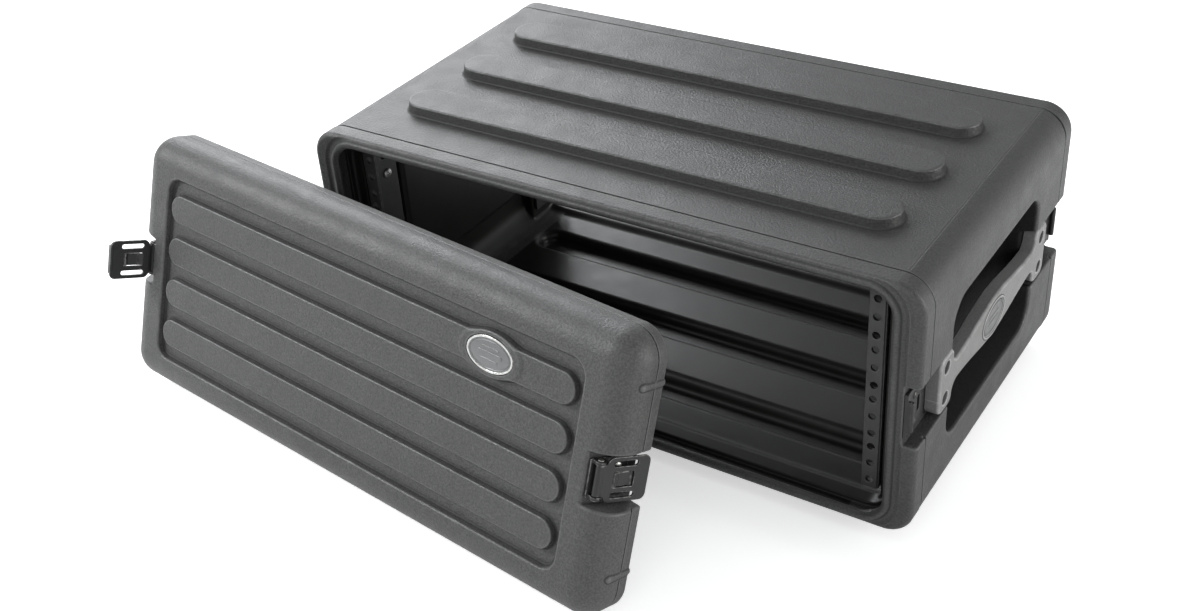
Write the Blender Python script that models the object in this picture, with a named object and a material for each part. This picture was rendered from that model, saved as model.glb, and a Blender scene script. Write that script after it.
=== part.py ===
# Shallow 4U rack case for 19-inch audio gear, with its detachable front lid.
# Frame: X across the width, Y from the front opening towards the rear, Z up.
# Origin on the floor, under the middle of the case body. Metres.
import math
import bpy
import bmesh
from mathutils import Matrix, Vector

for ob in list(bpy.data.objects):
    bpy.data.objects.remove(ob, do_unlink=True)

MM = 0.001
GAP = 0.3                      # clearance between neighbouring solids, mm

# ------------------------------------------------------------ driving sizes (mm)
WIDTH = 551.0                  # outer width of body and lid
HEIGHT = 223.0                 # outer height of body and lid, without ribs
DEPTH = 312.0                  # rim plane to rim plane
FOOT = 10.0                    # height of the bottom ribs the case stands on
RIB_TOP = 9.0                  # height of the top ribs
CORNER = 24.0                  # outer corner radius
GROOVE_Y = 17.6                # rim groove, measured from each rim plane
GROOVE_W = 1.6
GROOVE_D = 2.0
OPEN_X = 251.0                 # half width of the opening
OPEN_Z = 101.2                 # half height of the opening at the rims
WALL = 5.0                     # moulded wall
RIB_PITCH = 78.5
RIB_LEN = 450.0
RIB_W = 38.0
CHANNEL_X = 263.5              # floor of the side channel that holds handle and keepers
CHANNEL_Z0, CHANNEL_Z1 = 96.0, 149.0
POCKET_X = 245.5               # floor of the hand pocket
HANDLE_Z = 122.5
HANDLE_Y = 155.0
RAIL_X0, RAIL_X1 = 226.0, 240.0
RAIL_Y = 18.8                  # setback of the rack rails behind the rim plane
RAIL_Z = 121.0                 # centre of the 4U hole pattern
RAIL_H = 181.0
RACK_UNIT = 44.45
HOLE_X = 232.55                # half of the 465.1 mm rack hole pitch
LID_T = 40.0                   # lid depth
LID_ROUND = 24.0
PANEL_X, PANEL_Z = 237.0, 82.8
PANEL_D = 6.0
LID_RIB_PITCH = 37.8
LID_RIB_W = 26.0
LID_RIB_X = 231.0
LID_POS = (-152.5, -128.5, 0.0)
LID_YAW, LID_TILT = -7.6, -19.6          # degrees
LATCH_Z = 112.0                # latch height on the lid
LATCH_O = (257.5, -19.5)       # middle of the slanted latch seat
LATCH_SLOPE = 21.0             # seat angle to the lid side, degrees
LATCH_OPEN_LEFT = 145.0        # the left latch arm stands open

ZC = FOOT + HEIGHT / 2         # centre height of the body


# ------------------------------------------------------------ materials
def material(name, rgb, rough, metal=0.0):
    m = bpy.data.materials.new(name)
    m.use_nodes = True
    b = m.node_tree.nodes['Principled BSDF']
    b.inputs['Base Color'].default_value = (rgb[0], rgb[1], rgb[2], 1)
    b.inputs['Roughness'].default_value = rough
    b.inputs['Metallic'].default_value = metal
    return m


MAT = {
    'shell': material('moulded_shell', (0.085, 0.087, 0.086), 0.5),
    'lid': material('moulded_lid', (0.09, 0.092, 0.092), 0.5),
    'rail': material('rail_steel', (0.045, 0.045, 0.043), 0.42, 0.2),
    'zinc': material('zinc_screw', (0.62, 0.62, 0.60), 0.3, 1.0),
    'handle': material('handle_rubber', (0.16, 0.16, 0.155), 0.55),
    'bolt': material('black_bolt', (0.02, 0.02, 0.02), 0.4, 0.6),
    'badge': material('badge_inlay', (0.30, 0.30, 0.30), 0.35, 0.6),
    'keeper': material('keeper_steel', (0.03, 0.03, 0.03), 0.4, 0.5),
    'latch': material('latch_steel', (0.025, 0.025, 0.024), 0.38, 0.5),
    'rubber': material('gasket_rubber', (0.02, 0.02, 0.02), 0.8),
}


# ------------------------------------------------------------ mesh helpers
def rrect(hw, hh, r, seg=4, cx=0.0, cy=0.0):
    """Rounded rectangle loop, counter-clockwise."""
    r = max(min(r, hw - 0.01, hh - 0.01), 0.01)
    pts = []
    for k, (sx, sy) in enumerate(((1, 1), (-1, 1), (-1, -1), (1, -1))):
        for i in range(seg + 1):
            a = math.radians(90 * k + 90 * i / seg)
            pts.append((cx + sx * (hw - r) + r * math.cos(a), cy + sy * (hh - r) + r * math.sin(a)))
    return pts


def ellipse(ax, ay, n=20, cx=0.0, cy=0.0):
    return [(cx + ax * math.cos(2 * math.pi * i / n), cy + ay * math.sin(2 * math.pi * i / n)) for i in range(n)]


def loft(loops, closed=False):
    """Skin equal-length loops; ends capped, or the last joined to the first."""
    bm = bmesh.new()
    rows = [[bm.verts.new(Vector(p) * MM) for p in lp] for lp in loops]
    n = len(rows[0])
    pairs = list(zip(rows[:-1], rows[1:]))
    if closed:
        pairs.append((rows[-1], rows[0]))
    for a, b in pairs:
        for i in range(n):
            j = (i + 1) % n
            bm.faces.new((a[i], a[j], b[j], b[i]))
    if not closed:
        bm.faces.new(rows[0])
        bm.faces.new(list(reversed(rows[-1])))
    bmesh.ops.recalc_face_normals(bm, faces=bm.faces[:])
    return bm


def loft_y(stations):
    return loft([[(x, y, z) for x, z in pts] for y, pts in stations])


def loft_x(stations):
    return loft([[(x, y, z) for y, z in pts] for x, pts in stations])


def loft_z(stations):
    return loft([[(x, y, z) for x, y in pts] for z, pts in stations])


def box(x0, x1, y0, y1, z0, z1):
    return loft_z([(z, [(x0, y0), (x1, y0), (x1, y1), (x0, y1)]) for z in (z0, z1)])


def rod(p, d, radii, n=8):
    """Turned piece: radii is a list of (distance along d, radius)."""
    d = Vector(d).normalized()
    a = d.orthogonal().normalized()
    b = d.cross(a)
    p = Vector(p)
    loops = []
    for t, r in radii:
        loops.append([tuple(p + d * t + (a * math.cos(2 * math.pi * i / n) + b * math.sin(2 * math.pi * i / n)) * r)
                      for i in range(n)])
    return loft(loops)


def merge(*bms):
    """Put several meshes in one, still as separate shells."""
    out = bmesh.new()
    for b in bms:
        me = bpy.data.meshes.new('tmp')
        b.to_mesh(me)
        b.free()
        out.from_mesh(me)
        bpy.data.meshes.remove(me)
    return out


def make(name, bm, mat, parent=None, smooth=30):
    bmesh.ops.recalc_face_normals(bm, faces=bm.faces[:])
    me = bpy.data.meshes.new(name)
    bm.to_mesh(me)
    bm.free()
    ob = bpy.data.objects.new(name, me)
    bpy.context.scene.collection.objects.link(ob)
    me.materials.append(MAT[mat])
    if smooth:
        me.shade_smooth()
        me.set_sharp_from_angle(angle=math.radians(smooth))
    if parent:
        ob.parent = parent
    return ob


def combine(ob, bm, op):
    """Boolean the mesh into the object with the exact solver."""
    tool = make('tool', bm, 'shell', ob.parent, smooth=0)
    mod = ob.modifiers.new('cut', 'BOOLEAN')
    mod.operation = op
    mod.solver = 'EXACT'
    mod.object = tool
    dg = bpy.context.evaluated_depsgraph_get()
    me = bpy.data.meshes.new_from_object(ob.evaluated_get(dg))
    ob.modifiers.remove(mod)
    old = ob.data
    name = old.name
    ob.data = me
    bpy.data.meshes.remove(old)
    me.name = name
    bpy.data.objects.remove(tool, do_unlink=True)
    me.shade_smooth()
    me.set_sharp_from_angle(angle=math.radians(30))


def cut(ob, bm):
    combine(ob, bm, 'DIFFERENCE')


def join(ob, bm):
    combine(ob, bm, 'UNION')


# ------------------------------------------------------------ body shell
def outer(y, inset):
    return [(x, y, z) for x, z in rrect(WIDTH / 2 - inset, HEIGHT / 2 - inset, CORNER - inset * 0.8, cy=ZC)]


def inner(y, hz, hx=OPEN_X, r=19.0):
    return [(x, y, z) for x, z in rrect(hx, hz, r, cy=ZC)]


def body_shell():
    loops = [outer(0.0, 4.0), outer(1.2, 1.2), outer(4.0, 0.0),
             outer(GROOVE_Y - GROOVE_W / 2, 0.0), outer(GROOVE_Y - GROOVE_W / 2 + 0.1, GROOVE_D),
             outer(GROOVE_Y + GROOVE_W / 2 - 0.1, GROOVE_D), outer(GROOVE_Y + GROOVE_W / 2, 0.0)]
    half = [[(x, DEPTH - y, z) for x, y, z in lp] for lp in reversed(loops)]
    inside = [inner(DEPTH, OPEN_Z), inner(DEPTH - 14, OPEN_Z), inner(DEPTH - 20, OPEN_Z + 5.3, r=22),
              inner(20, OPEN_Z + 5.3, r=22), inner(14, OPEN_Z), inner(0, OPEN_Z)]
    ob = make('body_shell', loft(loops + half + inside, closed=True), 'shell')
    # raised bead around each opening
    for y, s in ((0.0, -1), (DEPTH, 1)):
        ring = [[(x, y - s * 2.0, z) for x, z in rrect(OPEN_X + 7.5, OPEN_Z + 4.8, 24, cy=ZC)],
                [(x, y + s * 1.0, z) for x, z in rrect(OPEN_X + 7.0, OPEN_Z + 4.3, 23.5, cy=ZC)],
                [(x, y + s * 1.6, z) for x, z in rrect(OPEN_X + 5.0, OPEN_Z + 3.0, 22.5, cy=ZC)],
                [(x, y + s * 1.6, z) for x, z in rrect(OPEN_X + 2.6, OPEN_Z + 1.8, 20.5, cy=ZC)],
                [(x, y + s * 0.6, z) for x, z in rrect(OPEN_X + 1.0, OPEN_Z + 0.9, 20.0, cy=ZC)],
                [(x, y - s * 2.0, z) for x, z in rrect(OPEN_X + 0.9, OPEN_Z + 0.8, 20.0, cy=ZC)]]
        join(ob, loft(ring, closed=True))
    # pillars the rails bolt to, and the back of the hand pocket
    inward = []
    for s in (-1, 1):
        for y0, y1 in ((20.0, 60.0), (DEPTH - 60.0, DEPTH - 20.0)):
            inward.append(loft_z([(z, [(s * 240.3, y0 + 1), (s * 241.5, y0), (s * 253.0, y0), (s * 253.0, y1),
                                       (s * 243.5, y1), (s * 240.3, y1 - 6)])
                                  for z in (ZC - OPEN_Z - 7, ZC + OPEN_Z + 7)]))
        inward.append(loft_x([(s * 253.0, rrect(86, 66, 20, 4, 151.5, 123.5)),
                              (s * 243.0, rrect(82, 62, 18, 4, 151.5, 123.5)),
                              (s * 241.0, rrect(80, 60, 17, 4, 151.5, 123.5))]))
    join(ob, merge(*inward))
    # ribs on the top and under the bottom
    ribs, hollows = [], []
    for k in (-1, 0, 1):
        cy = DEPTH / 2 - 0.5 + k * RIB_PITCH
        hl, hw = RIB_LEN / 2, RIB_W / 2
        for z0, s, h in ((FOOT + HEIGHT, 1, RIB_TOP), (FOOT, -1, FOOT)):
            ribs.append(loft_z([(z0 - s * 2.5, rrect(hl, hw, hw, 5, 0, cy)),
                                (z0 + s * (h - 2.0), rrect(hl - 1.2, hw - 1.2, hw - 1.2, 5, 0, cy)),
                                (z0 + s * h, rrect(hl - 3.0, hw - 3.0, hw - 3.0, 5, 0, cy))]))
            hollows.append(loft_z([(z0 - s * (WALL + 3), rrect(hl - 4, hw - 4, hw - 4, 5, 0, cy)),
                                   (z0 + s * (h - WALL), rrect(hl - 6.5, hw - 6.5, hw - 6.5, 5, 0, cy))]))
    join(ob, merge(*ribs))
    cut(ob, merge(*hollows))
    # side channels, hand pockets, fastener holes
    cuts, pockets, holes = [], [], []
    zc, zh = (CHANNEL_Z0 + CHANNEL_Z1) / 2, (CHANNEL_Z1 - CHANNEL_Z0) / 2
    for s in (-1, 1):
        cuts.append(loft_y([(y, [(s * x, z) for x, z in
                                 ((290, zc - zh - 1.0), (275.0, zc - zh - 0.6), (265.5, zc - zh), (CHANNEL_X, zc - zh + 2),
                                  (CHANNEL_X, zc + zh - 2), (265.5, zc + zh), (275.0, zc + zh + 0.6), (290, zc + zh + 1.0))])
                            for y in (-10, DEPTH + 10)]))
        pockets.append(loft_x([(s * 290.0, rrect(97, 69, 24, 4, 151.5, 123.5)),
                               (s * 276.0, rrect(93, 65, 20, 4, 151.5, 123.5)),
                               (s * 273.0, rrect(90.5, 62.5, 18, 4, 151.5, 123.5)),
                               (s * 248.0, rrect(79, 54, 15, 4, 151.5, 123.5)),
                               (s * POCKET_X, rrect(76, 51, 13, 4, 151.5, 123.5))]))
        for y in (52.5, 257.5):
            for z in (HANDLE_Z - 14, HANDLE_Z + 14):
                holes.append(rod((s * 244, y, z), (s, 0, 0), [(0, 2.8), (22, 2.8)]))
        for y in (14.0, DEPTH - 14.0):
            for z in (110.0, 134.0):
                holes.append(rod((s * 256.5, y, z), (s, 0, 0), [(0, 2.0), (10, 2.0)]))
        for y in (44.0, DEPTH - 44.0):
            for z in (RAIL_Z - 57.0, RAIL_Z + 57.0):
                holes.append(rod((s * 236, y, z), (s, 0, 0), [(0, 2.4), (16, 2.4)]))
    cut(ob, merge(*cuts))
    cut(ob, merge(*pockets))
    cut(ob, merge(*holes))
    return ob


body_shell()


# ------------------------------------------------------------ rack rails and their screws
def rail(name, s, rear):
    def fy(y):
        return DEPTH - y if rear else y
    z0, z1 = RAIL_Z - RAIL_H / 2, RAIL_Z + RAIL_H / 2
    sect = [(RAIL_X0, RAIL_Y), (RAIL_X1 - 1.0, RAIL_Y), (RAIL_X1, RAIL_Y + 1.0), (RAIL_X1, 57.0), (RAIL_X1 - 2.5, 57.0),
            (RAIL_X1 - 2.5, RAIL_Y + 3.5), (RAIL_X1 - 3.5, RAIL_Y + 2.5), (RAIL_X0, RAIL_Y + 2.5)]
    ob = make(name, loft_z([(z, [(s * x, fy(y)) for x, y in sect]) for z in (z0, z1)]), 'rail')
    cuts = []
    for u in range(4):
        for h in (6.35, 22.225, 38.1):
            z = RAIL_Z - 2 * RACK_UNIT + u * RACK_UNIT + h
            cuts.append(rod((s * HOLE_X, fy(RAIL_Y - 3), z), (0, -1 if rear else 1, 0), [(0, 3.1), (9, 3.1)]))
    for z in (RAIL_Z - 57.0, RAIL_Z + 57.0):
        cuts.append(rod((s * 234, fy(44.0), z), (s, 0, 0), [(0, 2.4), (9, 2.4)]))
    for z in (RAIL_Z - 74.5, RAIL_Z + 74.5):
        cuts.append(loft_x([(s * x, rrect(5.5, 3.0, 2.9, 2, fy(44.0), z)) for x in (234.0, 243.0)]))
    cut(ob, merge(*cuts))


def rail_screw(name, s, y, z):
    ob = make(name, rod((s * 251.0, y, z), (-s, 0, 0),
                        [(0, 1.2), (2, 2.0), (13.8, 2.0), (13.8, 4.4), (15.2, 4.0), (16.2, 2.6)]), 'zinc')
    cross = [(2.0, -0.5), (2.0, 0.5), (0.5, 0.5), (0.5, 2.0), (-0.5, 2.0), (-0.5, 0.5),
             (-2.0, 0.5), (-2.0, -0.5), (-0.5, -0.5), (-0.5, -2.0), (0.5, -2.0), (0.5, -0.5)]
    cut(ob, loft_x([(s * x, [(y + a, z + b) for a, b in cross]) for x in (233.0, 236.0)]))


for rear in (False, True):
    for s, side in ((-1, 'left'), (1, 'right')):
        end = 'rear' if rear else 'front'
        rail('rack_rail_%s_%s' % (end, side), s, rear)
        for z, lvl in ((RAIL_Z - 57.0, 'lower'), (RAIL_Z + 57.0, 'upper')):
            rail_screw('rail_screw_%s_%s_%s' % (end, side, lvl), s, DEPTH - 44.0 if rear else 44.0, z)


# ------------------------------------------------------------ side handles
def handle_outline(grow=0.0):
    """Half-heights of the handle along its length, mirrored about its middle."""
    prof = [(-114.5, 17.0), (-112.5, 22.0), (-108.0, 25.0), (-94.0, 25.0), (-90.0, 23.0), (-88.5, 18.0), (-86.5, 12.5),
            (-80.0, 10.0), (-70.0, 9.5), (-55.0, 11.0), (-38.0, 14.5), (-20.0, 17.3), (0.0, 18.0)]
    prof = prof + [(-a, b) for a, b in reversed(prof[:-1])]
    up = [(HANDLE_Y + a * (1 + grow / 114.5), HANDLE_Z + b + grow) for a, b in prof]
    dn = [(HANDLE_Y + a * (1 + grow / 114.5), HANDLE_Z - b - grow) for a, b in reversed(prof)]
    return up + dn


def handle(name, s):
    ob = make(name, loft_x([(s * (CHANNEL_X + GAP), handle_outline(-1.0)), (s * (CHANNEL_X + 1.6), handle_outline(0.0)),
                            (s * 273.6, handle_outline(0.0)), (s * 274.9, handle_outline(-0.7)),
                            (s * 275.4, handle_outline(-1.8))]), 'handle')
    cuts = []
    for y in (52.5, 257.5):
        for z in (HANDLE_Z - 14, HANDLE_Z + 14):
            cuts.append(rod((s * 262, y, z), (s, 0, 0), [(0, 2.8), (5.3, 2.8), (5.3, 5.4), (16, 5.4)], 10))
    cuts.append(loft_x([(s * 274.2, ellipse(21.3, 12.8, 20, 150.0, 122.0)), (s * 277, ellipse(21.3, 12.8, 20, 150.0, 122.0))]))
    cut(ob, merge(*cuts))


def handle_bolt(name, s, y, z):
    ob = make(name, rod((s * 245.5, y, z), (s, 0, 0),
                        [(0, 2.4), (22.1, 2.4), (22.1, 4.6), (25.4, 4.6), (26.4, 3.6)]), 'bolt')
    cut(ob, loft_x([(s * 270.2, ellipse(2.2, 2.2, 6, y, z)), (s * 273.0, ellipse(2.2, 2.2, 6, y, z))]))


for s, side in ((-1, 'left'), (1, 'right')):
    handle('handle_' + side, s)
    make('handle_badge_' + side, loft_x([(s * 274.5, ellipse(21.0, 12.5, 20, 150.0, 122.0)),
                                         (s * 275.4, ellipse(21.0, 12.5, 20, 150.0, 122.0)),
                                         (s * 275.8, ellipse(20.4, 11.9, 20, 150.0, 122.0))]), 'badge')
    k = 0
    for y in (52.5, 257.5):
        for z in (HANDLE_Z - 14, HANDLE_Z + 14):
            k += 1
            handle_bolt('handle_bolt_%s_%d' % (side, k), s, y, z)


# ------------------------------------------------------------ latch keepers in the rim notches
def keeper(name, s, rear):
    def fy(y):
        return DEPTH - y if rear else y
    x0 = CHANNEL_X + GAP
    sect = [(x0, 0.4), (270.2, 0.4), (270.2, 2.0), (x0 + 2.5, 2.3), (x0 + 2.5, 26.0), (x0 + 1.5, 27.0), (x0, 27.0)]
    ob = make(name, loft_z([(z, [(s * x, fy(y)) for x, y in sect]) for z in (103.0, 142.0)]), 'keeper')
    cuts = [rod((s * 262, fy(14.0), z), (s, 0, 0), [(0, 2.0), (6, 2.0)]) for z in (110.0, 134.0)]
    cuts.append(box(min(s * 266.6, s * 272), max(s * 266.6, s * 272), min(fy(-1), fy(2.6)), max(fy(-1), fy(2.6)), 101.0, 108.0))
    cuts.append(box(min(s * 266.6, s * 272), max(s * 266.6, s * 272), min(fy(-1), fy(2.6)), max(fy(-1), fy(2.6)), 137.0, 144.0))
    cut(ob, merge(*cuts))
    for z, lvl in ((110.0, 'lower'), (134.0, 'upper')):
        make('keeper_rivet_%s_%s' % (name[7:], lvl),
             rod((s * 257.2, fy(14.0), z), (s, 0, 0), [(0, 1.7), (9.4, 1.7), (9.4, 3.2), (10.2, 2.8), (10.7, 1.5)]), 'bolt')


for rear in (False, True):
    for s, side in ((-1, 'left'), (1, 'right')):
        keeper('keeper_%s_%s' % ('rear' if rear else 'front', side), s, rear)


# ------------------------------------------------------------ lid
lid_frame = bpy.data.objects.new('lid_frame', None)
bpy.context.scene.collection.objects.link(lid_frame)
lid_frame.location = Vector(LID_POS) * MM
lid_frame.rotation_mode = 'XYZ'
lid_frame.matrix_world = (Matrix.Translation(Vector(LID_POS) * MM) @ Matrix.Rotation(math.radians(LID_YAW), 4, 'Z')
                          @ Matrix.Rotation(math.radians(LID_TILT), 4, 'X'))
LZ = HEIGHT / 2                # lid centre height in the lid frame
CA, SA = math.cos(math.radians(LATCH_SLOPE)), math.sin(math.radians(LATCH_SLOPE))


def seat(s, u, n, w=0.0):
    """Point in the slanted latch seat: u along it to the rear, n away from it, w up."""
    return (s * (LATCH_O[0] + SA * u + CA * n), LATCH_O[1] + CA * u - SA * n, LATCH_Z + w)


def seat_prism(s, pts, w0, w1):
    return loft([[seat(s, u, n, w) for u, n in pts] for w in (w0, w1)])


def lid_loop(y, inset, r=None):
    return [(x, y, z) for x, z in rrect(WIDTH / 2 - inset, HEIGHT / 2 - inset, CORNER - inset * 0.8 if r is None else r, cy=LZ)]


def lid_shell():
    loops = [lid_loop(0.0, 2.0), lid_loop(-1.5, 0.3), lid_loop(-10.0, 0.0), lid_loop(-10.1, 1.2), lid_loop(-11.1, 1.2),
             lid_loop(-11.2, 0.0), lid_loop(-(LID_T - LID_ROUND), 0.0)]
    for k in range(1, 6):
        a = math.radians(18 * k)
        loops.append(lid_loop(-(LID_T - LID_ROUND) - LID_ROUND * math.sin(a), LID_ROUND * (1 - math.cos(a))))
    cavity = [[(x, -(LID_T - 11.0), z) for x, z in rrect(240, 93, 14, cy=LZ)],
              [(x, -(LID_T - 13.5), z) for x, z in rrect(245, 97, 17, cy=LZ)],
              [(x, 0.0, z) for x, z in rrect(248, OPEN_Z - 1.2, 19, cy=LZ)]]
    bm = bmesh.new()
    rows = [[bm.verts.new(Vector(p) * MM) for p in lp] for lp in loops]
    crow = [[bm.verts.new(Vector(p) * MM) for p in lp] for lp in cavity]
    seq = [crow[0], crow[1], crow[2]] + rows
    n = len(rows[0])
    for a, b in zip(seq[:-1], seq[1:]):
        for i in range(n):
            j = (i + 1) % n
            bm.faces.new((a[i], a[j], b[j], b[i]))
    bm.faces.new(crow[0])
    bm.faces.new(list(reversed(rows[-1])))
    ob = make('lid_shell', bm, 'lid', lid_frame)
    # recessed panel, then the ribs that come back up to the face
    cut(ob, loft_y([(-(LID_T + 3), rrect(PANEL_X + 3, PANEL_Z + 3, 17, 4, 0, LZ)), (-LID_T, rrect(PANEL_X, PANEL_Z, 14, 4, 0, LZ)),
                    (-(LID_T - PANEL_D + 1.0), rrect(PANEL_X - 1.6, PANEL_Z - 1.6, 12.4, 4, 0, LZ)),
                    (-(LID_T - PANEL_D), rrect(PANEL_X - 2.8, PANEL_Z - 2.8, 11.2, 4, 0, LZ))]))
    ribs = []
    for k in range(4):
        z = LZ + (k - 1.5) * LID_RIB_PITCH
        hw = LID_RIB_W / 2
        ribs.append(loft_y([(-(LID_T - PANEL_D - 2), rrect(LID_RIB_X, hw, hw, 5, 0, z)),
                            (-(LID_T - 1.6), rrect(LID_RIB_X - 1.0, hw - 1.0, hw - 1.0, 5, 0, z)),
                            (-(LID_T - 0.2), rrect(LID_RIB_X - 2.6, hw - 2.6, hw - 2.6, 5, 0, z))]))
    join(ob, merge(*ribs))
    bz = LZ + 1.5 * LID_RIB_PITCH
    join(ob, loft_y([(-(LID_T - PANEL_D - 2), ellipse(33, 19.0, 22, 149.5, bz)), (-(LID_T - PANEL_D), ellipse(33, 19.0, 22, 149.5, bz)),
                     (-(LID_T - 1.4), ellipse(31.0, 17.6, 22, 149.5, bz)), (-LID_T + 0.1, ellipse(28.0, 15.8, 22, 149.5, bz))]))
    cuts = [loft_y([(-(LID_T - 1.3), ellipse(22.7, 13.4, 22, 149.5, bz)), (-(LID_T + 2), ellipse(22.7, 13.4, 22, 149.5, bz))])]
    # slanted seats for the latches, open to the rear rim
    rivet_holes = []
    for s in (-1, 1):
        cuts.append(loft([[seat(s, u, n, w) for u, w in rrect(40.0, 20.5 + n * 0.12, 3.0, 3)] for n in (0.0, 40.0)]))
        for w in (-8.0, 8.0):
            rivet_holes.append(rod(seat(s, 4.0, -5.0, w), Vector(seat(s, 0, 1)) - Vector(seat(s, 0, 0)), [(0, 1.9), (7, 1.9)]))
    cut(ob, merge(*cuts))
    cut(ob, merge(*rivet_holes))
    # small moulded cross ribs at the rear edge of both ends
    nubs = []
    for s in (-1, 1):
        for z in (LZ - 74.0, LZ + 74.0):
            nubs.append(loft_x([(s * 273.0, rrect(13.5, 3.2, 3.0, 3, -14.0, z)), (s * 275.5, rrect(13.5, 3.2, 3.0, 3, -14.0, z)),
                                (s * 276.6, rrect(12.6, 2.2, 2.0, 3, -14.0, z))]))
    join(ob, merge(*nubs))
    # gasket groove in the rear face
    cut(ob, loft([[(x, y, z) for x, z in rrect(a, b, r, cy=LZ)] for y, a, b, r in
                  ((1.0, 262.0, 106.4, 24.5), (-2.5, 262.0, 106.4, 24.5), (-2.5, 256.0, 102.6, 21.0), (1.0, 256.0, 102.6, 21.0))],
                 closed=True))
    return ob


lid_shell()

make('lid_gasket', loft([[(x, y, z) for x, z in rrect(a, b, r, cy=LZ)] for y, a, b, r in
                         ((-0.4, 261.5, 105.9, 24.0), (-2.1, 261.5, 105.9, 24.0), (-2.1, 256.5, 103.1, 21.5), (-0.4, 256.5, 103.1, 21.5))],
                        closed=True), 'rubber', lid_frame)
BZ = LZ + 1.5 * LID_RIB_PITCH
make('lid_badge', loft_y([(-(LID_T - 1.0), ellipse(22.3, 13.0, 22, 149.5, BZ)), (-(LID_T + 0.1), ellipse(22.3, 13.0, 22, 149.5, BZ)),
                          (-(LID_T + 0.5), ellipse(21.6, 12.3, 22, 149.5, BZ))]), 'badge', lid_frame)


# ------------------------------------------------------------ latches
PIN_U, PIN_N = -13.0, 5.6      # arm pin in the seat frame
TRIG_U, TRIG_N = 13.0, 5.4     # trigger pin in the seat frame


def circle_pts(cu, cn, r, a0, a1, n):
    return [(cu + r * math.cos(math.radians(a0 + (a1 - a0) * i / n)), cn + r * math.sin(math.radians(a0 + (a1 - a0) * i / n)))
            for i in range(n + 1)]


def place_on_pin(ob, s, u, n, parent, parent_pin=None):
    """Move the object's origin onto its pin axis."""
    p = Vector(seat(s, u, n)) * MM
    ob.data.transform(Matrix.Translation(-p))
    ob.parent = parent
    ob.location = p if parent_pin is None else p - parent_pin


def latch(s, side, open_deg):
    base = make('latch_base_' + side, seat_prism(s, [(-19, GAP), (12, GAP), (12, 1.6), (11.5, 2.1), (-18.5, 2.1), (-19, 1.6)],
                                                 -15.5, 15.5), 'latch', lid_frame)
    for w in (-14.8, 12.3):
        ear = [(PIN_U + 4.2, 1.0), (PIN_U + 4.2, 2.4)] + circle_pts(PIN_U, PIN_N, 3.6, 0, 180, 6) + [(PIN_U - 4.2, 2.4), (PIN_U - 4.2, 1.0)]
        join(base, seat_prism(s, ear, w, w + 2.5))
    zdir = (0, 0, 1)
    nd = Vector(seat(s, 0, 1)) - Vector(seat(s, 0, 0))
    cuts = [rod(seat(s, PIN_U, PIN_N, -17), zdir, [(0, 1.65), (34, 1.65)])]
    cuts += [rod(seat(s, 4.0, -1.0, w), nd, [(0, 1.9), (5, 1.9)]) for w in (-8.0, 8.0)]
    cut(base, merge(*cuts))
    for i, w in enumerate((-8.0, 8.0)):
        make('latch_rivet_%s_%d' % (side, i + 1), rod(seat(s, 4.0, -4.2, w), nd, [(0, 1.55), (6.6, 1.55), (6.6, 3.0), (7.3, 2.6), (7.6, 1.4)]),
             'zinc', lid_frame)
    make('latch_arm_pin_' + side, rod(seat(s, PIN_U, PIN_N, -15.9), zdir,
                                      [(0, 2.0), (0.8, 2.2), (0.8, 1.3), (31.0, 1.3), (31.0, 2.2), (31.8, 2.0)]), 'zinc', lid_frame)
    # arm: barrel on the pin, plate with two long slots and a window, lip at the free end
    arm = make('latch_arm_' + side, seat_prism(s, circle_pts(PIN_U, PIN_N, 3.0, 0, 330, 11), -11.9, 11.9), 'latch')
    join(arm, seat_prism(s, [(PIN_U + 0.4, 5.9), (-4.0, 6.1), (-4.0, 7.9), (PIN_U + 0.2, 7.9)], -11.9, 11.9))
    plate = [[seat(s, u, n, w) for u, w in rrect(17.0, 17.5, 4.0, 3, 10.0, 0.0)] for n in (6.0, 8.0)]
    join(arm, loft(plate))
    join(arm, seat_prism(s, [(24.6, 7.0), (24.8, 1.6), (26.6, 1.2), (26.6, 7.0)], -13.0, 13.0))
    join(arm, merge(*[seat_prism(s, circle_pts(TRIG_U, TRIG_N, 2.4, 180, 360, 4) + [(TRIG_U + 2.4, 7.0), (TRIG_U - 2.4, 7.0)], w, w + 1.8)
                      for w in (-8.3, 6.5)]))
    cuts = [loft([[seat(s, u, n, w) for u, w in rrect(10.0, 2.1, 2.0, 3, 7.0, c)] for n in (4.0, 10.0)]) for c in (-12.2, 12.2)]
    cuts.append(rod(seat(s, PIN_U, PIN_N, -17), zdir, [(0, 1.65), (34, 1.65)]))
    cut(arm, merge(*cuts))
    cut(arm, loft([[seat(s, u, n, w) for u, w in rrect(8.4, 6.0, 1.2, 2, 6.6, 0.0)] for n in (2.0, 10.0)]))
    cut(arm, rod(seat(s, TRIG_U, TRIG_N, -9), zdir, [(0, 1.1), (18, 1.1)]))
    place_on_pin(arm, s, PIN_U, PIN_N, lid_frame)
    pin0 = Vector(seat(s, PIN_U, PIN_N)) * MM
    # trigger in the window, and its pin
    trig = make('latch_trigger_' + side, seat_prism(s, circle_pts(TRIG_U, TRIG_N, 1.8, 0, 330, 11), -5.5, 5.5), 'latch')
    join(trig, seat_prism(s, [(TRIG_U, TRIG_N - 0.6), (TRIG_U, TRIG_N + 1.7), (2.0, 7.6), (-1.0, 8.4), (-1.2, 6.8), (2.0, 5.6)], -5.5, 5.5))
    cut(trig, rod(seat(s, TRIG_U, TRIG_N, -10), zdir, [(0, 1.1), (20, 1.1)]))
    place_on_pin(trig, s, TRIG_U, TRIG_N, arm, pin0)
    tpin = make('latch_trigger_pin_' + side, rod(seat(s, TRIG_U, TRIG_N, -8.2), zdir, [(0, 0.8), (16.4, 0.8)]), 'zinc')
    place_on_pin(tpin, s, TRIG_U, TRIG_N, arm, pin0)
    arm.rotation_euler = (0, 0, -s * math.radians(open_deg))


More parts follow.
